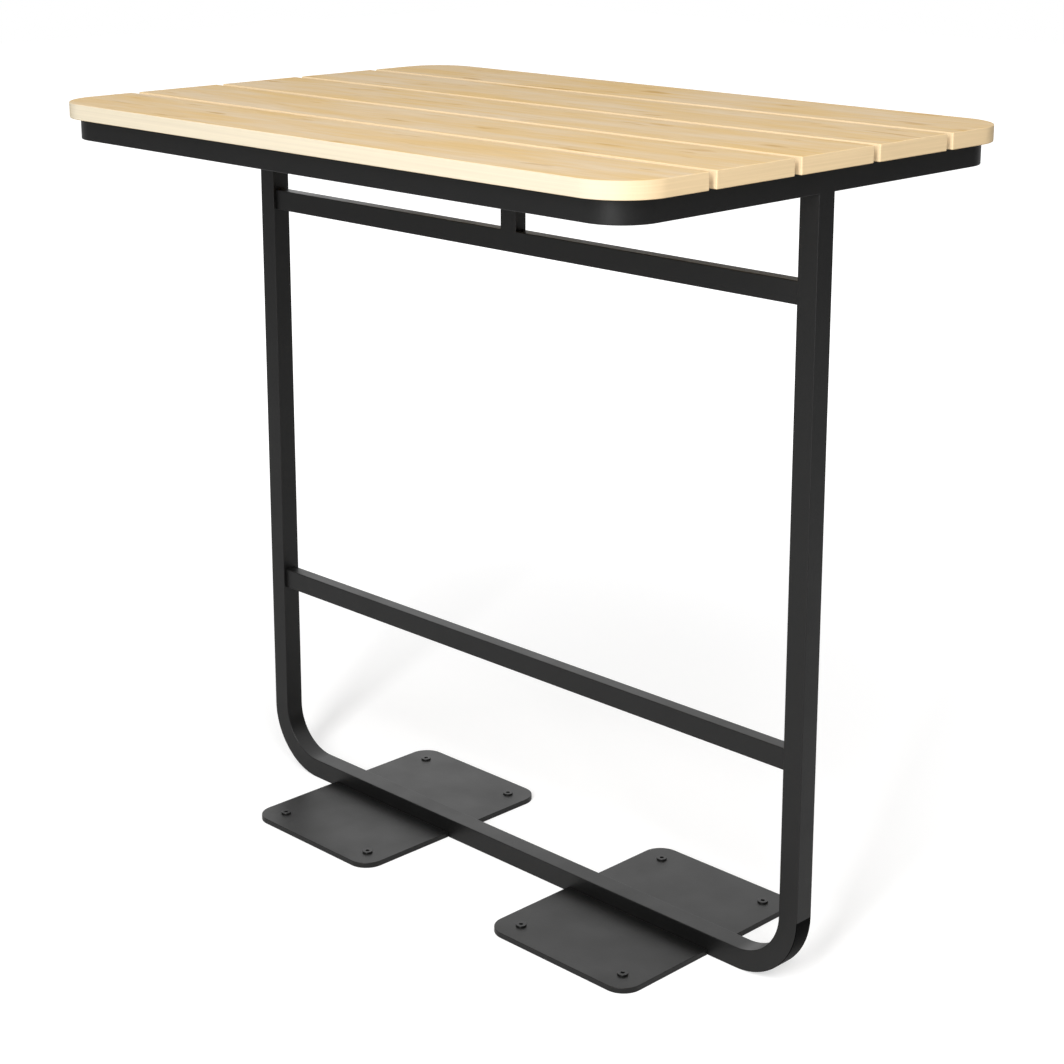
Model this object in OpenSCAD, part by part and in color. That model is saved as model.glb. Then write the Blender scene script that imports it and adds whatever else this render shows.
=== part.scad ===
// Bar table: five wide boards on a black welded steel frame of square tube.
// The frame is one portal: two legs turned through elbows into a tube along the floor,
// a hoop of tube under the boards, two rails, a short post and flat plates as feet.
// Millimetres. +X runs along the table, +Y across it and +Z up.
// The origin is on the floor, under the middle of the top.

/* [Boards] */
// Length of the boards and of the table
table_length = 1100; // [900:10:1400]
// Width of one board
board_width = 140; // [120:1:160]
// Open gap between two boards
board_gap = 12; // [4:1:20]
// Thickness of the boards
board_thickness = 22; // [20:1:34]
// Radius of the four corners of the top
top_corner = 70; // [60:1:100]

/* [Steel frame] */
// Height of the steel frame, from the floor to the underside of the boards
frame_height = 1080; // [900:10:1120]
// Side of the square tube of the hoop, legs, elbows and floor tube
tube_size = 30; // [25:1:38]
// Wall of every steel tube
tube_wall = 2; // [1.5:0.5:3]
// How far the hoop stands back from the edge of the boards
hoop_inset = 15; // [5:1:25]
// Outer radius of the elbows between the legs and the floor tube
elbow_radius = 100; // [80:5:130]
// Height of the rectangular tube of the rails
rail_height = 30; // [25:1:40]
// Depth of the rectangular tube of the rails and the post
rail_depth = 20; // [15:1:25]
// Width of the short post between the upper rail and the bearer
post_width = 30; // [20:1:40]
// Clear height between the upper rail and the hoop
upper_rail_drop = 110; // [60:5:200]
// Height of the underside of the foot rail above the floor
foot_rail_height = 302; // [200:1:400]

/* [Base plates] */
// Length of each foot plate along the floor tube
plate_length = 260; // [200:5:300]
// Distance across the feet, from front edge to back edge
base_depth = 360; // [300:5:500]
// Thickness of the foot plates
plate_thickness = 8; // [6:1:12]
// Radius of the free corners of the foot plates
plate_corner = 30; // [15:1:40]
// Length of plain floor tube between each foot and its elbow
foot_setback = 49; // [20:1:100]

/* [Floor fixings] */
// Distance of the fixing holes from the free edges of the plates
fixing_inset = 35; // [25:1:50]
// Hole through each bush, for a floor screw
bush_bore = 5.5; // [4.5:0.5:6.5]
// Diameter of the bush inside the plate
bush_body = 9; // [8:0.5:12]
// Diameter of the raised collar of the bush
bush_collar = 15; // [13:0.5:20]
// Height of the raised collar
collar_height = 2.5; // [1.5:0.5:4]
// Bevel round the top of the collar
collar_bevel = 0.5; // [0.2:0.1:1]
// Gap between bush and plate, all round
bush_gap = 0.1; // [0.05:0.05:0.2]

/* [Board screws] */
// Diameter of the screw's shank
screw_shank = 4; // [3:0.5:5]
// Length of the screw below its head
screw_length = 18; // [14:1:20]
// Length of the screw's point
screw_point = 4; // [3:0.5:5]
// Diameter of the blunt tip of the point
screw_tip = 0.4; // [0.2:0.1:1]
// Diameter of the screw's head
screw_head = 8; // [7:0.5:9]
// Height of the screw's head
screw_head_height = 2.5; // [2:0.5:3]
// Width of the cross slot in the head
slot_width = 1; // [0.8:0.1:1.2]
// Length of the cross slot in the head
slot_length = 4.6; // [4:0.2:5.4]
// Depth of the cross slot in the head
slot_depth = 1.4; // [1:0.1:1.6]
// Gap round the shank where it passes the steel wall
shank_gap = 0.25; // [0.1:0.05:0.5]
// Gap round the shank in its pilot hole in the board
pilot_gap = 0.1; // [0.05:0.05:0.2]
// Extra depth of the pilot hole past the screw's point
pilot_spare = 1; // [0.5:0.5:2]
// Hole in the tube's lower wall that lets the screw and driver in
access_hole = 11; // [10:0.5:13]
// Distance between the two screws of a pair across a board
screw_pair_width = 90; // [60:5:100]
// Distance of the side screws from the middle of the table, along its length
side_screw_pitch = 400; // [300:10:420]

/* [Hidden] */
$fn = 96;
// Cutting shapes run past the faces that they cut by this much
cut_over = 1;
board_count = 5;
board_pitch = board_width + board_gap;
top_width = board_count * board_width + (board_count - 1) * board_gap;
hoop_x = table_length / 2 - hoop_inset;
hoop_y = top_width / 2 - hoop_inset;
hoop_corner = top_corner - hoop_inset;
hoop_underside = frame_height - tube_size;
leg_x = hoop_x - tube_size / 2;
leg_inner_x = hoop_x - tube_size;
bearer_half = hoop_y - tube_size;
elbow_x = hoop_x - elbow_radius;
foot_x = elbow_x - foot_setback - plate_length / 2;
upper_rail_top = hoop_underside - upper_rail_drop;
plate_reach = (base_depth - tube_size) / 2;
fixing_x = plate_length / 2 - fixing_inset;
fixing_y = base_depth / 2 - fixing_inset;
head_seat = frame_height - tube_wall;
pilot_depth = screw_length - tube_wall + pilot_spare;
side_screw_y = hoop_y - tube_size / 2;
steel = [0.16, 0.16, 0.16];
pale_wood = [0.89, 0.78, 0.60];
zinc = [0.72, 0.72, 0.70];

// Height of a board's middle line across the table, board 0 at the front
function board_y(board) = (board - (board_count - 1) / 2) * board_pitch;

// Screw places of one board: pairs over both ends of the hoop and over the bearer.
// The outer boards have one row there, and the other row along the hoop's long side.
function end_rows(board) =
    board == 0 ? [screw_pair_width / 2]
    : board == board_count - 1 ? [-screw_pair_width / 2]
    : [-screw_pair_width / 2, screw_pair_width / 2];
function support_screws(board) = [
    for (x = [-leg_x, 0, leg_x], row = end_rows(board)) [x, board_y(board) + row]
];
function side_screws(board) =
    board > 0 && board < board_count - 1 ? []
    : [for (x = [-side_screw_pitch, 0, side_screw_pitch]) [x, sign(board_y(board)) * side_screw_y]];
function board_screws(board) = concat(support_screws(board), side_screws(board));

// Rectangle with four round corners, centred
module round_rectangle(half_x, half_y, radius) {
    square([2 * (half_x - radius), 2 * half_y], center = true);
    square([2 * half_x, 2 * (half_y - radius)], center = true);
    for (x = [-1, 1], y = [-1, 1])
        translate([x * (half_x - radius), y * (half_y - radius)])
            circle(radius);
}

// Flat closed band of a given width that follows a round rectangle inwards
module round_band(half_x, half_y, radius, width, height) {
    difference() {
        linear_extrude(height)
            round_rectangle(half_x, half_y, radius);
        translate([0, 0, -cut_over])
            linear_extrude(height + 2 * cut_over)
                round_rectangle(half_x - width, half_y - width, radius - width);
    }
}

// Outline of a hollow tube's end, centred
module tube_outline(width, depth) {
    difference() {
        square([width, depth], center = true);
        square([width - 2 * tube_wall, depth - 2 * tube_wall], center = true);
    }
}

// One board, with the corners of the top where it is an outer board
module slat(board) {
    color(pale_wood)
        translate([0, 0, frame_height])
            difference() {
                linear_extrude(board_thickness)
                    intersection() {
                        round_rectangle(table_length / 2, top_width / 2, top_corner);
                        translate([0, board_y(board)])
                            square([table_length + 2 * cut_over, board_width], center = true);
                    }
                for (place = board_screws(board))
                    translate([place.x, place.y, -cut_over])
                        cylinder(d = screw_shank + 2 * pilot_gap, h = pilot_depth + cut_over);
            }
}

// Pan head wood screw, its head's bearing face at z = 0 and its point upwards
module wood_screw() {
    difference() {
        translate([0, 0, -screw_head_height])
            cylinder(d = screw_head, h = screw_head_height);
        for (turn = [0, 90])
            rotate([0, 0, turn])
                translate([-slot_length / 2, -slot_width / 2, -screw_head_height - cut_over])
                    cube([slot_length, slot_width, slot_depth + cut_over]);
    }
    cylinder(d = screw_shank, h = screw_length - screw_point);
    translate([0, 0, screw_length - screw_point])
        cylinder(d1 = screw_shank, d2 = screw_tip, h = screw_point);
}

// The screws that hold one board down
module slat_screws(board) {
    color(zinc)
        for (place = board_screws(board))
            translate([place.x, place.y, head_seat])
                wood_screw();
}

// Screw hole in a tube's upper wall, with the access hole below it in the lower wall
module screw_holes(board) {
    for (place = board_screws(board)) {
        translate([place.x, place.y, head_seat - cut_over])
            cylinder(d = screw_shank + 2 * shank_gap, h = tube_wall + 2 * cut_over);
        translate([place.x, place.y, hoop_underside - cut_over])
            cylinder(d = access_hole, h = tube_wall + 2 * cut_over);
    }
}

// Closed hoop of square tube under the edge of the boards
module top_hoop() {
    color(steel)
        difference() {
            translate([0, 0, hoop_underside])
                difference() {
                    round_band(hoop_x, hoop_y, hoop_corner, tube_size, tube_size);
                    translate([0, 0, tube_wall])
                        round_band(hoop_x - tube_wall, hoop_y - tube_wall, hoop_corner - tube_wall,
                            tube_size - 2 * tube_wall, tube_size - 2 * tube_wall);
                }
            for (board = [0 : board_count - 1])
                screw_holes(board);
        }
}

// Bearer across the middle of the hoop, under all five boards
module cross_bearer() {
    color(steel)
        difference() {
            translate([0, bearer_half, frame_height - tube_size / 2])
                rotate([90, 0, 0])
                    linear_extrude(2 * bearer_half)
                        tube_outline(tube_size, tube_size);
            for (board = [0 : board_count - 1])
                screw_holes(board);
        }
}

// Upright tube between an elbow and the hoop
module leg(side) {
    color(steel)
        translate([side * leg_x, 0, elbow_radius])
            linear_extrude(hoop_underside - elbow_radius)
                tube_outline(tube_size, tube_size);
}

// Quarter bend between a leg and the floor tube
module elbow(side) {
    color(steel)
        mirror([side < 0 ? 1 : 0, 0, 0])
            translate([elbow_x, 0, elbow_radius])
                rotate([90, 0, 0])
                    rotate([0, 0, -90])
                        rotate_extrude(angle = 90)
                            translate([elbow_radius - tube_size / 2, 0])
                                tube_outline(tube_size, tube_size);
}

// Tube along the floor between the elbows
module floor_tube() {
    color(steel)
        translate([-elbow_x, 0, tube_size / 2])
            rotate([90, 0, 90])
                linear_extrude(2 * elbow_x)
                    tube_outline(tube_size, tube_size);
}

// Rail between the two legs, given by the height of its underside
module rail(underside) {
    color(steel)
        translate([-leg_inner_x, 0, underside + rail_height / 2])
            rotate([90, 0, 90])
                linear_extrude(2 * leg_inner_x)
                    tube_outline(rail_depth, rail_height);
}

// Short post that carries the bearer on the upper rail
module centre_post() {
    color(steel)
        translate([0, 0, upper_rail_top])
            linear_extrude(upper_rail_drop)
                tube_outline(post_width, rail_depth);
}

// Half of a foot: a flat plate that butts on the side of the floor tube
module foot_plate(side, face) {
    color(steel)
        translate([side * foot_x, 0, 0])
            mirror([0, face < 0 ? 1 : 0, 0])
                difference() {
                    translate([0, tube_size / 2, 0])
                        linear_extrude(plate_thickness) {
                            translate([-plate_length / 2, 0])
                                square([plate_length, plate_reach - plate_corner]);
                            translate([plate_corner - plate_length / 2, 0])
                                square([plate_length - 2 * plate_corner, plate_reach]);
                            for (x = [-1, 1])
                                translate([x * (plate_length / 2 - plate_corner), plate_reach - plate_corner])
                                    circle(plate_corner);
                        }
                    for (x = [-1, 1])
                        translate([x * fixing_x, fixing_y, -cut_over])
                            cylinder(d = bush_body + 2 * bush_gap, h = plate_thickness + 2 * cut_over);
                }
}

// Collared bush that lines a fixing hole, its lower end level with the plate's underside
module fixing_bush() {
    difference() {
        union() {
            cylinder(d = bush_body, h = plate_thickness);
            translate([0, 0, plate_thickness])
                cylinder(d = bush_collar, h = collar_height - collar_bevel);
            translate([0, 0, plate_thickness + collar_height - collar_bevel])
                cylinder(d1 = bush_collar, d2 = bush_collar - 2 * collar_bevel, h = collar_bevel);
        }
        translate([0, 0, -cut_over])
            cylinder(d = bush_bore, h = plate_thickness + collar_height + 2 * cut_over);
    }
}

// The four bushes of one foot
module fixing_bushes(side) {
    color(steel)
        for (x = [-1, 1], y = [-1, 1])
            translate([side * foot_x + x * fixing_x, y * fixing_y, 0])
                fixing_bush();
}

slat(0);  // slat_front
slat(1);  // slat_front_inner
slat(2);  // slat_middle
slat(3);  // slat_back_inner
slat(4);  // slat_back
slat_screws(0);  // screws_slat_front
slat_screws(1);  // screws_slat_front_inner
slat_screws(2);  // screws_slat_middle
slat_screws(3);  // screws_slat_back_inner
slat_screws(4);  // screws_slat_back
top_hoop();
cross_bearer();
leg(-1);  // leg_left
leg(1);  // leg_right
centre_post();
rail(upper_rail_top - rail_height);  // upper_rail
rail(foot_rail_height);  // foot_rail
elbow(-1);  // elbow_left
elbow(1);  // elbow_right
floor_tube();
foot_plate(-1, -1);  // plate_left_front
foot_plate(-1, 1);  // plate_left_back
foot_plate(1, -1);  // plate_right_front
foot_plate(1, 1);  // plate_right_back
fixing_bushes(-1);  // fixing_bushes_left
fixing_bushes(1);  // fixing_bushes_right
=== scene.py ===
import bpy
import numpy as np
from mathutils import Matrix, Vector


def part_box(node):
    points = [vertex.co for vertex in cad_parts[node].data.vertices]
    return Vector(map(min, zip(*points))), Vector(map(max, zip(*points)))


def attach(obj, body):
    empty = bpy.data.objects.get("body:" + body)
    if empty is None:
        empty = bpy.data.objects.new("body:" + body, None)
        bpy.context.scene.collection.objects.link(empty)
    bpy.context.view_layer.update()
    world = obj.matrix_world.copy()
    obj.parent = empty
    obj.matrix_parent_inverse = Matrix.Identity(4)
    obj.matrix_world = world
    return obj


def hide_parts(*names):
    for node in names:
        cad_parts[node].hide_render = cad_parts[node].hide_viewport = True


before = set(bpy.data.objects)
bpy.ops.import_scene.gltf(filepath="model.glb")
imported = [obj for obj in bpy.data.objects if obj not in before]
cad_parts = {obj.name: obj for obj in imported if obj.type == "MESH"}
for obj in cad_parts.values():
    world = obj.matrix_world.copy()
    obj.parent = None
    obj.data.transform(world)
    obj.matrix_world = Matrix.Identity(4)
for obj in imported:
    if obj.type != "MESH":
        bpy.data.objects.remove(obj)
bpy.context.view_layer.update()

# Floor tube: 30 mm square steel tube that lies on the floor and carries the whole table.
# It is the bottom of one welded loop, which two quarter bends turn up into the legs.
# All steel is powder coated black after welding, with the joints ground flush.
tube_wall = 0.002
tube_edge = 0.0012
inner_edge = 0.0005
edge_steps = 4


def corner_turns(steps):
    """Turns from the x axis along four round corners, a row for each corner, anticlockwise
    from the lower right one. Each row runs through a quarter circle in even steps."""
    return np.pi / 2 * (np.arange(-1, 3)[:, None] + np.linspace(0, 1, steps + 1))


def round_rectangle(half_x, half_y, radius, steps):
    """Outline of a rectangle with round corners, anticlockwise from the lower right one.
    Each corner is a quarter circle about a centre that stands in from the corner by the
    radius, in x and in y. The radius is one number, or one for each corner."""
    radius = np.broadcast_to(radius, 4)[:, None]
    turn = corner_turns(steps)
    x = np.array([[1], [1], [-1], [-1]]) * (half_x - radius) + radius * np.cos(turn)
    y = np.array([[-1], [1], [1], [-1]]) * (half_y - radius) + radius * np.sin(turn)
    return np.stack([x.ravel(), y.ravel()], -1)


def new_piece(name, places, faces):
    """Object in the scene, with a mesh of the given points and faces."""
    mesh = bpy.data.meshes.new(name)
    mesh.from_pydata(places.tolist(), [], faces)
    piece = bpy.data.objects.new(name, mesh)
    bpy.context.scene.collection.objects.link(piece)
    return piece


def skin(name, shells, joined):
    """Closed mesh over one or more shells, each a stack of rings of points. Each ring runs
    round, and quads join it to the next. The last ring is joined to the first, or both end
    rings are capped."""
    places = np.concatenate([shell.reshape(-1, 3) for shell in shells])
    faces = []
    first = 0
    for shell in shells:
        index = first + np.arange(shell.shape[0] * shell.shape[1]).reshape(shell.shape[:2])
        here = index if joined else index[:-1]
        there = np.roll(index, -1, 0) if joined else index[1:]
        quads = np.stack([here, np.roll(here, -1, 1), np.roll(there, -1, 1), there], -1)
        faces += quads.reshape(-1, 4).tolist()
        if not joined:
            faces += [index[0, ::-1].tolist(), index[-1].tolist()]
        first += index.size
    return new_piece(name, places, faces)


def carry(section, centres, across, upright):
    """Carries a section along a path. The section's point (s, t) lands on the path's centre,
    plus s times the across direction, plus t times the upright direction."""
    across = np.broadcast_to(across, centres.shape)[:, None]
    upright = np.broadcast_to(upright, centres.shape)[:, None]
    return centres[:, None] + section[:, :1] * across + section[:, 1:] * upright


def tube_sections(width, depth):
    """Outer and inner outline of a tube, the inner one smaller by the wall on each side."""
    outer = round_rectangle(width / 2, depth / 2, tube_edge, edge_steps)
    inner = round_rectangle(width / 2 - tube_wall, depth / 2 - tube_wall, inner_edge, edge_steps)
    return outer, inner


def open_tube(name, centres, across, upright, width, depth):
    """Hollow tube along a path: its outer outline is carried to the far end and its inner
    one back, so that a flat ring of steel closes the wall at each end."""
    outer, inner = tube_sections(width, depth)
    there = carry(outer, centres, across, upright)
    back = carry(inner, centres, across, upright)[::-1]
    return skin(name, [np.concatenate([there, back])], joined=True)


class Wiring:
    """The nodes of one material, or of the air, with short ways to add and to join them."""

    def __init__(self, owner):
        self.owner = owner
        owner.use_nodes = True
        self.tree = owner.node_tree
        self.tree.nodes.clear()
        self.place = self.add("ShaderNodeTexCoord").outputs["Object"]

    def add(self, kind, inputs=None, **settings):
        """Adds a node. A socket of another node is joined to the input, anything else is set."""
        node = self.tree.nodes.new(kind)
        for key, value in settings.items():
            setattr(node, key, value)
        for key, value in (inputs or {}).items():
            if isinstance(value, bpy.types.NodeSocket):
                self.tree.links.new(value, node.inputs[key])
            else:
                node.inputs[key].default_value = value
        return node

    def noise(self, scale, detail, shift=(0, 0, 0)):
        """Noise with its own scale along x, y and z, in cycles per metre."""
        inputs = {"Vector": self.place, "Scale": scale, "Location": shift}
        vector = self.add("ShaderNodeMapping", inputs).outputs[0]
        inputs = {"Vector": vector, "Scale": 1.0, "Detail": detail}
        return self.add("ShaderNodeTexNoise", inputs).outputs["Fac"]

    def spread(self, value, low, high, start, end):
        """Moves a value from the range low to high into the range start to end."""
        inputs = {"Value": value, "From Min": low, "From Max": high, "To Min": start, "To Max": end}
        return self.add("ShaderNodeMapRange", inputs).outputs[0]

    def bump(self, height, distance):
        """Tilts the surface as if its height went up by the distance where the value is 1."""
        inputs = {"Height": height, "Distance": distance, "Strength": 1.0}
        return self.add("ShaderNodeBump", inputs).outputs[0]

    def finish(self, inputs):
        """Closes a material with the shader that every finish of the table uses."""
        shader = self.add("ShaderNodeBsdfPrincipled", inputs)
        self.add("ShaderNodeOutputMaterial", {"Surface": shader.outputs[0]})
        return self.owner


coat_black = (0.0022, 0.0022, 0.0021, 1)
coat_roughness = 0.43
coat_mirror = 0.5
peel_scale = (420, 420, 420)
peel_detail = 3.0
peel_depth = 0.00005
gloss_scale = (14, 14, 14)
gloss_detail = 4.0
gloss_swing = 0.04
noise_low = 0.3
noise_high = 0.7


def powder_coat(name, colour, roughness, mirror=coat_mirror):
    """Powder coat: a deep black with a fine orange peel, and a gloss that varies a little."""
    coat = Wiring(bpy.data.materials.new(name))
    peel = coat.noise(peel_scale, peel_detail)
    gloss = coat.noise(gloss_scale, gloss_detail)
    smooth, rough = roughness - gloss_swing, roughness + gloss_swing
    return coat.finish({
        "Base Color": colour,
        "Roughness": coat.spread(gloss, noise_low, noise_high, smooth, rough),
        "Specular IOR Level": mirror,
        "Normal": coat.bump(peel, peel_depth),
    })


sharp_angle = np.radians(40)


def settle(piece, slot, material, *nodes):
    """Finishes a piece: its small round edges get smooth shading and its faces stay flat. Then
    it gets its material and takes the place of its CAD nodes."""
    piece.data.polygons.foreach_set("use_smooth", np.ones(len(piece.data.polygons), bool))
    piece.data.set_sharp_from_angle(angle=sharp_angle)
    piece.modifiers.new("even_faces", "WEIGHTED_NORMAL").keep_sharp = True
    piece.data.materials.append(material)
    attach(piece, "root")
    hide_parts(*nodes)


black_coat = powder_coat("black_powder_coat", coat_black, coat_roughness)
along_x, along_y, along_z = np.eye(3)
low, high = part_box("floor_tube")
tube_size = high.z - low.z
ends = np.array([[low.x, 0, tube_size / 2], [high.x, 0, tube_size / 2]])
tube = open_tube("floor_tube_coated", ends, along_y, along_z, tube_size, tube_size)
settle(tube, "black_powder_coat", black_coat, "floor_tube")

# Elbows: quarter bends of the same tube, welded between the floor tube and the legs.
# Their outer face is painted shade: a deeper black with almost no gloss, which starts with a
# sharp line where the straight leg begins.
bend_steps = 32
# Painted shade: the deeper black with almost no gloss for the outer face of each bend.
painted_shade_black = (0.0010, 0.0010, 0.0010, 1)
painted_shade_mirror = 0.02
painted_shade_coat = powder_coat("painted_shade_black_coat", painted_shade_black, coat_roughness, painted_shade_mirror)
for side, node in ((-1, "elbow_left"), (1, "elbow_right")):
    low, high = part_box(node)
    outer_radius = high.z
    turn = np.linspace(-np.pi / 2, 0, bend_steps + 1)
    radial = np.stack([side * np.cos(turn), 0 * turn, np.sin(turn)], -1)
    middle = np.array([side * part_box("floor_tube")[1].x, 0, outer_radius])
    centres = middle + (outer_radius - tube_size / 2) * radial
    elbow = open_tube(node + "_coated", centres, radial, side * along_y, tube_size, tube_size)
    settle(elbow, "black_powder_coat", black_coat, node)
    elbow.data.materials.append(painted_shade_coat)
    # The faces on the outside of each bend get the painted shade.
    face_centres = np.zeros(len(elbow.data.polygons) * 3)
    elbow.data.polygons.foreach_get("center", face_centres)
    reach = np.linalg.norm(face_centres.reshape(-1, 3)[:, ::2] - middle[::2], axis=1)
    painted_shade_faces = reach > outer_radius - tube_edge / 2
    elbow.data.polygons.foreach_set("material_index", painted_shade_faces.astype(np.int32))

# Legs: two upright tubes welded between the elbows and the hoop, with their outer face level
# with the hoop's. They run into the hoop as far as its edge is round, so that no groove is
# left there, and the weld is ground flush.
for node in ("leg_left", "leg_right"):
    low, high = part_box(node)
    middle_x = (low.x + high.x) / 2
    ends = np.array([[middle_x, 0, low.z], [middle_x, 0, high.z + tube_edge]])
    leg = open_tube(node + "_coated", ends, along_x, along_y, tube_size, tube_size)
    settle(leg, "black_powder_coat", black_coat, node)

# Rails: two flatter tubes, 20 by 30 mm, butt welded between the legs. The upper one stiffens
# the frame below the top, and the lower one is the foot rail.
for node in ("upper_rail", "foot_rail"):
    low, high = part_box(node)
    middle_z = (low.z + high.z) / 2
    ends = np.array([[low.x, 0, middle_z], [high.x, 0, middle_z]])
    rail = open_tube(node + "_coated", ends, along_y, along_z, high.y - low.y, high.z - low.z)
    settle(rail, "black_powder_coat", black_coat, node)

# Centre post: a short piece of the rails' tube, welded upright between the upper rail and the
# bearer, which it props. It runs into the rail as far as the rail's edge is round.
low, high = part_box("centre_post")
ends = np.array([[0, 0, low.z - tube_edge], [0, 0, high.z]])
post = open_tube("centre_post_coated", ends, along_x, along_y, high.x - low.x, high.y - low.y)
settle(post, "black_powder_coat", black_coat, "centre_post")

# Hoop: square tube bent into a closed frame under the edge of the boards. The board screws
# pass its upper wall, and larger holes below them let the screws and the driver in.
hoop_corner = 0.055
hoop_steps = 20
hole_sides = 32
screw_hole = 0.0045
access_hole = 0.011
screw_offset = 0.045
side_pitch = 0.4
board_nodes = ["slat_front", "slat_front_inner", "slat_middle", "slat_back_inner", "slat_back"]


def headings(turn):
    """Level directions at the turns t from the x axis: (cosine of t, sine of t, 0)."""
    return np.stack([np.cos(turn), np.sin(turn), 0 * turn], -1)


def round_headings(sides):
    """Level directions all the way round, in even steps."""
    return headings(np.linspace(0, 2 * np.pi, sides, endpoint=False))


def drill(piece, places, diameter, bottom, top):
    """Cuts upright round holes through a piece. Each cutter is a circle about its place,
    carried from a bottom height to a top height."""
    circle = diameter / 2 * round_headings(hole_sides)
    drills = [np.stack([circle + (x, y, bottom), circle + (x, y, top)]) for x, y in places]
    cutter = skin("drill", drills, joined=False)
    cut = piece.modifiers.new("holes", "BOOLEAN")
    cut.operation = "DIFFERENCE"
    cut.solver = "EXACT"
    cut.object = cutter
    bpy.context.view_layer.update()
    graph = bpy.context.evaluated_depsgraph_get()
    drilled = bpy.data.meshes.new_from_object(piece.evaluated_get(graph))
    piece.modifiers.clear()
    piece.data = drilled
    bpy.data.objects.remove(cutter)


low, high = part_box("top_hoop")
leg_line = high.x - tube_size / 2
side_line = high.y - tube_size / 2
centre_line = round_rectangle(leg_line, side_line, hoop_corner - tube_size / 2, hoop_steps)
centres = np.c_[centre_line, np.full(len(centre_line), (low.z + high.z) / 2)]
outwards = headings(corner_turns(hoop_steps).ravel())
outer, inner = tube_sections(tube_size, tube_size)
shells = [carry(outer, centres, along_z, outwards), carry(inner, centres, along_z, outwards)[::-1]]
hoop = skin("top_hoop_coated", shells, joined=True)
rows = [sum(corner.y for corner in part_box(node)) / 2 for node in board_nodes]
screw_rows = [rows[0] + screw_offset, rows[-1] - screw_offset]
screw_rows += [row + offset for row in rows[1:-1] for offset in (-screw_offset, screw_offset)]
end_screws = [(x, y) for x in (-leg_line, leg_line) for y in screw_rows]
side_screws = [(x, y) for x in (-side_pitch, 0, side_pitch) for y in (-side_line, side_line)]
upper_wall = high.z - 2 * tube_wall, high.z + tube_wall
lower_wall = low.z - tube_wall, low.z + 2 * tube_wall
drill(hoop, end_screws + side_screws, screw_hole, *upper_wall)
drill(hoop, end_screws + side_screws, access_hole, *lower_wall)
settle(hoop, "black_powder_coat", black_coat, "top_hoop")

# Cross bearer: a tube across the middle of the hoop, under all five boards. It can't be
# seen from the front. It keeps the long boards flat and stands on the centre post.
low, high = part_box("cross_bearer")
ends = np.array([[0, low.y, (low.z + high.z) / 2], [0, high.y, (low.z + high.z) / 2]])
bearer = open_tube("cross_bearer_coated", ends, along_z, along_x, tube_size, tube_size)
middle_screws = [(0, y) for y in screw_rows]
drill(bearer, middle_screws, screw_hole, *upper_wall)
drill(bearer, middle_screws, access_hole, *lower_wall)
settle(bearer, "black_powder_coat", black_coat, "cross_bearer")

# Foot plates: four flat steel plates, 8 mm thick, welded to the sides of the floor tube in
# two pairs. Each has two round outer corners, and two holes for the bushes.
plate_corner = 0.030
plate_edge = 0.0007
square_corner = 0.0009
fixing_inset = 0.035
bush_hole = 0.0092
plate_steps = 16


def slab(name, box, corners, edge, steps):
    """Flat slab with eased edges. Its outline is carried up its side, and near the lower and
    the upper face the outline steps in along a quarter circle."""
    low, high = np.array(box)
    lower_bend = np.linspace(-1, 0, edge_steps + 1)
    upper_bend = np.linspace(0, 1, edge_steps + 1)
    turn = np.pi / 2 * np.concatenate([lower_bend, upper_bend])
    step_in = edge * (1 - np.cos(turn))
    height = np.repeat([low[2] + edge, high[2] - edge], edge_steps + 1) + edge * np.sin(turn)
    half = (high - low) / 2
    corners = np.array(corners)
    rings = []
    for inwards, z in zip(step_in, height):
        outline = round_rectangle(half[0] - inwards, half[1] - inwards, corners - inwards, steps)
        rings.append(np.c_[outline, np.full(len(outline), z)])
    middle = np.array([(low[0] + high[0]) / 2, (low[1] + high[1]) / 2, 0])
    return skin(name, [np.stack(rings) + middle], joined=False)


for across in ("left", "right"):
    for depth, corners in (
        ("front", [plate_corner, square_corner, square_corner, plate_corner]),
        ("back", [square_corner, plate_corner, plate_corner, square_corner]),
    ):
        node = "plate_" + across + "_" + depth
        low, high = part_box(node)
        plate = slab(node + "_coated", (low, high), corners, plate_edge, plate_steps)
        free_edge = low.y if depth == "front" else high.y
        hole_y = free_edge + (fixing_inset if depth == "front" else -fixing_inset)
        holes = [(low.x + fixing_inset, hole_y), (high.x - fixing_inset, hole_y)]
        drill(plate, holes, bush_hole, low.z - tube_wall, high.z + tube_wall)
        settle(plate, "black_powder_coat", black_coat, node)

# Fixing bushes: turned black collars that sit in the plates' holes with a tenth of a
# millimetre of play, one in each corner of a foot. A floor screw goes down through each.
bush_bore = 0.0055
bush_body = 0.009
collar_bevel = 0.0006
bore_bevel = 0.0004
bush_sides = 48
bush_black = (0.0035, 0.0035, 0.0036, 1)
bush_roughness = 0.42
bush_coat = powder_coat("black_bush", bush_black, bush_roughness)


def bushes(node, places):
    """Turned rings: the profile's point (r, z) is carried round each place by cosine and sine.
    The profile goes up the bore, out over the collar and down the body. The collar is as wide
    as the node's box is longer than the row of places."""
    low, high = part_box(node)
    columns = [x for x, y in places]
    collar = (high.x - low.x) - (max(columns) - min(columns))
    plate_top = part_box("plate_left_front")[1].z
    bore_r, body_r, collar_r = bush_bore / 2, bush_body / 2, collar / 2
    bend = np.linspace(0, np.pi / 2, edge_steps + 1)
    rim_r = collar_r - collar_bevel * (1 - np.sin(bend))
    rim_z = high.z - collar_bevel * (1 - np.cos(bend))
    start = [[bore_r, low.z], [bore_r, high.z - bore_bevel], [bore_r + bore_bevel, high.z]]
    end = [[collar_r, plate_top], [body_r, plate_top], [body_r, low.z]]
    profile = np.concatenate([start, np.stack([rim_r, rim_z], -1), end])
    radial = round_headings(bush_sides)
    centres = [np.broadcast_to([x, y, 0], radial.shape) for x, y in places]
    rings = [carry(profile, centre, radial, along_z) for centre in centres]
    return skin(node + "_turned", rings, joined=True)


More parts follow.
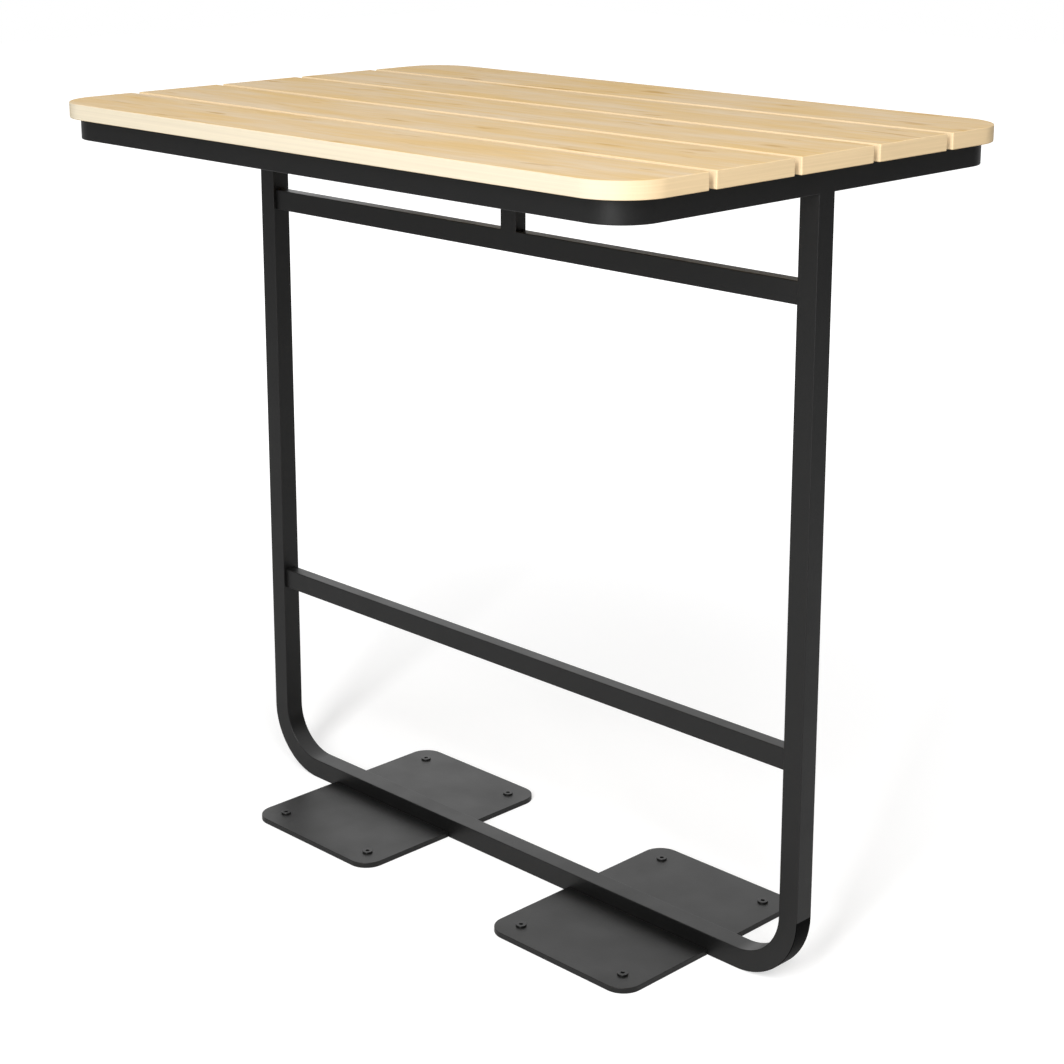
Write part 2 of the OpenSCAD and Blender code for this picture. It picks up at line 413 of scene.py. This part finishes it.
for across in ("left", "right"):
    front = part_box("plate_" + across + "_front")
    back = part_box("plate_" + across + "_back")
    places = [
        (x, y)
        for x in (front[0].x + fixing_inset, front[1].x - fixing_inset)
        for y in (front[0].y + fixing_inset, back[1].y - fixing_inset)
    ]
    node = "fixing_bushes_" + across
    settle(bushes(node, places), "black_bush", bush_coat, node)

# Boards: five pale hardwood boards, planed and oiled, laid side by side with open gaps. Their
# edges are eased by a small round, and the outer two are sawn to the big corner of the top.
# The grain runs along the boards, and each board is cut from another part of the tree.
top_corner = 0.070
board_corner = 0.0016
board_edge = 0.0013
board_steps = 24
pilot_hole = 0.0042
pilot_depth = 0.017
gold = (0.702, 0.490, 0.228, 1)
straw = (0.708, 0.523, 0.296, 1)
cream = (0.716, 0.562, 0.372, 1)
gold_level = 0.33
straw_level = 0.50
cream_level = 0.67
cut_distance = (3.7, 5.3, 1.9)
zone_scale = (4.0, 19, 12)
zone_detail = 3.5
streak_scale = (7, 80, 170)
streak_detail = 3.0
streak_low = 0.25
streak_high = 0.75
streak_pull = 0.11
fibre_scale = (16, 380, 40)
line_scale = (2.5, 6, 430)
fleck_scale = (9, 40, 30)
fine_detail = 2.0
fleck_brown = (0.43, 0.210, 0.020, 1)
fleck_fray = 0.04
fleck_from = 0.64
fleck_full = 0.77
fleck_strength = 0.60
fleck_roughness = 1.0
grain_dark = 0.945
grain_pale = 1.035
grain_depth = 0.00008
wood_rough = 0.80
wood_smooth = 0.72
wood_mirror = 0.15
# Painted light and sheen: the paler colour of the sides, and its share on the outer long sides, the
# gap walls and the ends.
painted_light_pale = (0.640, 0.567, 0.432, 1)
painted_light_outer = 1.0
painted_light_gaps = 0.30
painted_light_ends = 0.15


def reckoned(wiring, operation, first, second):
    """One value out of two, by an operation such as ADD."""
    return wiring.add("ShaderNodeMath", {0: first, 1: second}, operation=operation).outputs[0]


def blended(wiring, share, first, second):
    """The first value where the share is 0, the second where it is 1, and a blend between."""
    inputs = {0: share, 2: first, 3: second}
    return wiring.add("ShaderNodeMix", inputs, data_type="FLOAT").outputs[0]


def blended_colour(wiring, share, first, second):
    """The same for two colours."""
    inputs = {0: share, 6: first, 7: second}
    return wiring.add("ShaderNodeMix", inputs, data_type="RGBA").outputs[2]


def board_wood(number):
    """Oiled wood. Feathered zones of gold and cream, narrow streaks, fine fibres and short
    brown flecks are all noise that is drawn out along the board. The sides have thin lines
    along them, and are painted paler as painted light and sheen."""
    wood = Wiring(bpy.data.materials.new("oiled_wood_%d" % number))
    shift = [number * distance for distance in cut_distance]
    zones = wood.noise(zone_scale, zone_detail, shift)
    streaks = wood.noise(streak_scale, streak_detail, shift)
    fibres = wood.noise(fibre_scale, fine_detail, shift)
    lines = wood.noise(line_scale, fine_detail, shift)
    flecks = wood.noise(fleck_scale, fine_detail, shift)
    # The sides' share marks the sides for their grain lines, and says how much painted light each
    # gets.
    side = wood.add("ShaderNodeAttribute", attribute_name="sides_with_painted_light").outputs["Fac"]
    calm = wood.spread(side, 0.0, painted_light_ends, 0.0, 1.0)
    pull = wood.spread(streaks, streak_low, streak_high, -streak_pull, streak_pull)
    level = blended(wood, calm, reckoned(wood, "ADD", zones, pull), straw_level)
    tone = wood.add("ShaderNodeValToRGB", {"Fac": level})
    band = tone.color_ramp
    band.elements[0].position, band.elements[0].color = gold_level, gold
    band.elements[1].position, band.elements[1].color = cream_level, cream
    band.elements.new(straw_level).color = straw
    fray = wood.spread(streaks, streak_low, streak_high, fleck_fray, -fleck_fray)
    frayed = reckoned(wood, "ADD", flecks, fray)
    mark = wood.spread(frayed, fleck_from, fleck_full, 0.0, fleck_strength)
    mark = blended(wood, calm, mark, 0.0)
    colour = blended_colour(wood, mark, tone.outputs[0], fleck_brown)
    # Painted light: the sides take the paler colour by their share.
    colour = blended_colour(wood, side, colour, painted_light_pale)
    grain = blended(wood, calm, fibres, lines)
    grain = wood.spread(grain, noise_low, noise_high, grain_dark, grain_pale)
    shade = wood.add("ShaderNodeVectorMath", {0: colour, 3: grain}, operation="SCALE")
    gloss = wood.spread(fibres, noise_low, noise_high, wood_rough, wood_smooth)
    return wood.finish({
        "Base Color": shade.outputs[0],
        "Roughness": blended(wood, mark, gloss, fleck_roughness),
        "Specular IOR Level": wood_mirror,
        "Normal": wood.bump(fibres, grain_depth),
    })


last_board = len(board_nodes) - 1
for number, node in enumerate(board_nodes):
    low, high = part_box(node)
    front = top_corner if number == 0 else board_corner
    back = top_corner if number == last_board else board_corner
    board = slab(node + "_board", (low, high), [front, back, back, front], board_edge, board_steps)
    own = [(x, y) for x, y in end_screws + side_screws + middle_screws if low.y < y < high.y]
    drill(board, own, pilot_hole, low.z - tube_wall, low.z + pilot_depth)
    facing = np.zeros(len(board.data.polygons) * 3)
    board.data.polygons.foreach_get("normal", facing)
    along, across, upright = facing.reshape(-1, 3).T
    # Painted light and sheen on the sides: each face's share of the paler colour follows the way it
    # faces, most on the outer long sides, less on the gap walls, least on the ends.
    outer = (number == 0) & (across < 0) | (number == last_board) & (across > 0)
    share = np.where(outer, painted_light_outer, painted_light_gaps) * across ** 2 + painted_light_ends * along ** 2
    sides_with_painted_light = board.data.attributes.new("sides_with_painted_light", "FLOAT", "FACE")
    sides_with_painted_light.data.foreach_set("value", share.astype(np.float32))
    settle(board, "oiled_ash", board_wood(number), node)

# Board screws: zinc plated pan heads, driven from below through the steel into the boards.
# Six of them hold each board. The solids that were loaded serve as they are, and get zinc.
zinc_colour = (0.62, 0.63, 0.64, 1)
zinc_scale = (600, 600, 600)
zinc_detail = 3.0
zinc_smooth = 0.28
zinc_rough = 0.42
zinc = Wiring(bpy.data.materials.new("zinc_screw"))
zinc_tone = zinc.noise(zinc_scale, zinc_detail)
zinc_material = zinc.finish({
    "Base Color": zinc_colour,
    "Metallic": 1.0,
    "Roughness": zinc.spread(zinc_tone, noise_low, noise_high, zinc_smooth, zinc_rough),
})
for node in board_nodes:
    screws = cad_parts["screws_" + node]
    screws.data.materials.clear()
    screws.data.materials.append(zinc_material)

# Floor and air: a plain white studio. The camera sees both of them white, and the floor keeps
# the table's faint shadow: it glows less near the table, so that the shadow shows there. The
# steel mirrors the air as white, and the floor much darker.
floor_half = 12.0
floor_drop = 0.0003
floor_tone = 0.57
floor_glow = 0.52
floor_mirror = 0.10
glow_near = 0.6
glow_far = 2.6
glow_full = 1.0
air_colour = (1, 1, 1, 1)
air_white = 1.0
air_dim = 0.32
air_mirror = 1.0


def seen(wiring, mirror):
    """Is 1 where a ray of the camera or through a clear surface sees the place, the mirror
    level where a mirrored ray sees it, and else 0."""
    rays = wiring.add("ShaderNodeLightPath").outputs
    most = reckoned(wiring, "MULTIPLY", rays["Is Glossy Ray"], mirror)
    for ray in ("Is Camera Ray", "Is Transmission Ray"):
        most = reckoned(wiring, "MAXIMUM", rays[ray], most)
    return most


floor_corners = np.array([[-1, -1, 0], [1, -1, 0], [1, 1, 0], [-1, 1, 0]]) * floor_half
floor = new_piece("floor", floor_corners - (0, 0, floor_drop), [[0, 1, 2, 3]])
ground = Wiring(bpy.data.materials.new("white_floor"))
matt = ground.add("ShaderNodeBsdfDiffuse", {"Color": (floor_tone, floor_tone, floor_tone, 1)})
distance = ground.add("ShaderNodeVectorMath", {0: ground.place}, operation="LENGTH")
glow = ground.spread(distance.outputs["Value"], glow_near, glow_far, floor_glow, glow_full)
glow = reckoned(ground, "MULTIPLY", seen(ground, floor_mirror), glow)
shine = ground.add("ShaderNodeEmission", {"Strength": glow})
both = ground.add("ShaderNodeAddShader", {0: matt.outputs[0], 1: shine.outputs[0]})
ground.add("ShaderNodeOutputMaterial", {"Surface": both.outputs[0]})
floor.data.materials.append(ground.owner)

air = Wiring(bpy.data.worlds.new("white_air"))
level = air.spread(seen(air, air_mirror), 0.0, 1.0, air_dim, air_white)
sky = air.add("ShaderNodeBackground", {"Color": air_colour, "Strength": level})
air.add("ShaderNodeOutputWorld", {"Surface": sky.outputs[0]})
bpy.context.scene.world = air.owner

# Dark curtain: hangs round the front and the right of the studio, darkest on the right. Only
# mirrored rays meet it, so the steel's faces towards it stay black and it throws no shadow.
curtain_dark = 0.02
curtain_pale = 0.20
curtain_pale_side = (-0.71, -0.71, 0.0)
curtain_radius = 6.5
curtain_height = 4.4
curtain_start = -172
curtain_stop = 78
curtain_steps = 64
curtain_turn = np.radians(np.linspace(curtain_start, curtain_stop, curtain_steps + 1))
hem = headings(curtain_turn) * curtain_radius
cloth_places = np.concatenate([hem, hem + (0, 0, curtain_height)])
steps = np.arange(curtain_steps)
cloth_faces = np.stack([steps, steps + 1, steps + 1 + len(hem), steps + len(hem)], -1)
cloth = new_piece("dark_curtain", cloth_places, cloth_faces.tolist())
grey = Wiring(bpy.data.materials.new("dark_curtain"))
inputs = {0: grey.place, 1: curtain_pale_side}
towards = grey.add("ShaderNodeVectorMath", inputs, operation="DOT_PRODUCT").outputs["Value"]
level = grey.spread(towards, 0.0, curtain_radius, curtain_dark, curtain_pale)
shine = grey.add("ShaderNodeEmission", {"Strength": level})
grey.add("ShaderNodeOutputMaterial", {"Surface": shine.outputs[0]})
cloth.data.materials.append(grey.owner)
cloth.visible_camera = False
cloth.visible_diffuse = False
cloth.visible_transmission = False
cloth.visible_shadow = False


def soft_box(name, place, aim, width, height, power, mirrored=True):
    """A flat white lamp that faces the aim. The camera doesn't see it, and mirrored rays see
    it only if it is mirrored."""
    lamp = bpy.data.lights.new(name, "AREA")
    lamp.shape = "RECTANGLE"
    lamp.size = width
    lamp.size_y = height
    lamp.energy = power
    box = bpy.data.objects.new(name, lamp)
    box.location = place
    box.rotation_euler = (Vector(aim) - Vector(place)).to_track_quat("-Z", "Y").to_euler()
    box.visible_camera = False
    box.visible_glossy = mirrored
    bpy.context.scene.collection.objects.link(box)


# Key light: a tall soft box in front of the table, a little to its right. It lights the top
# and the front, and its mirror image runs down the hoop's right corner.
soft_box(
    "key_light", place=(2.12, -4.75, 3.78), aim=(0.0, 0.0, 0.9), width=1.2, height=4.4, power=357
)

# Side light: a weaker soft box on the right, which lights the ends of the boards. It isn't
# mirrored, so that the steel's right faces stay dark.
soft_box(
    "side_light", place=(4.31, -2.91, 3.78), aim=(0.0, 0.0, 0.9), width=1.8, height=4.4, power=185,
    mirrored=False,
)

# Wall light: a weak soft box on the left, behind the table. The feet and the floor tube mirror
# it in their upper faces.
soft_box(
    "wall_light", place=(-4.2, 2.6, 1.6), aim=(0.0, 0.0, 0.2), width=3.0, height=2.4, power=9
)

# Camera: stands before the right front corner and looks down a little, as in the photograph.
# Its lens is shifted by about half of the photograph's shift, so that the other sides of the
# table stay in view too.
camera_place = (2.1420, -2.1058, 1.4634)
camera_dip = 0.24161
camera_turn = 0.78704
camera_lens = 75.122
camera_sensor = 36.0
camera_shift_x = 0.0036
camera_shift_y = -0.14
camera_data = bpy.data.cameras.new("camera")
camera_data.sensor_width = camera_sensor
camera_data.lens = camera_lens
camera_data.shift_x = camera_shift_x
camera_data.shift_y = camera_shift_y
camera = bpy.data.objects.new("camera", camera_data)
camera.location = camera_place
camera.rotation_euler = (np.pi / 2 - camera_dip, 0.0, camera_turn)
bpy.context.scene.collection.objects.link(camera)
bpy.context.scene.camera = camera
bpy.context.scene.view_settings.view_transform = "Standard"
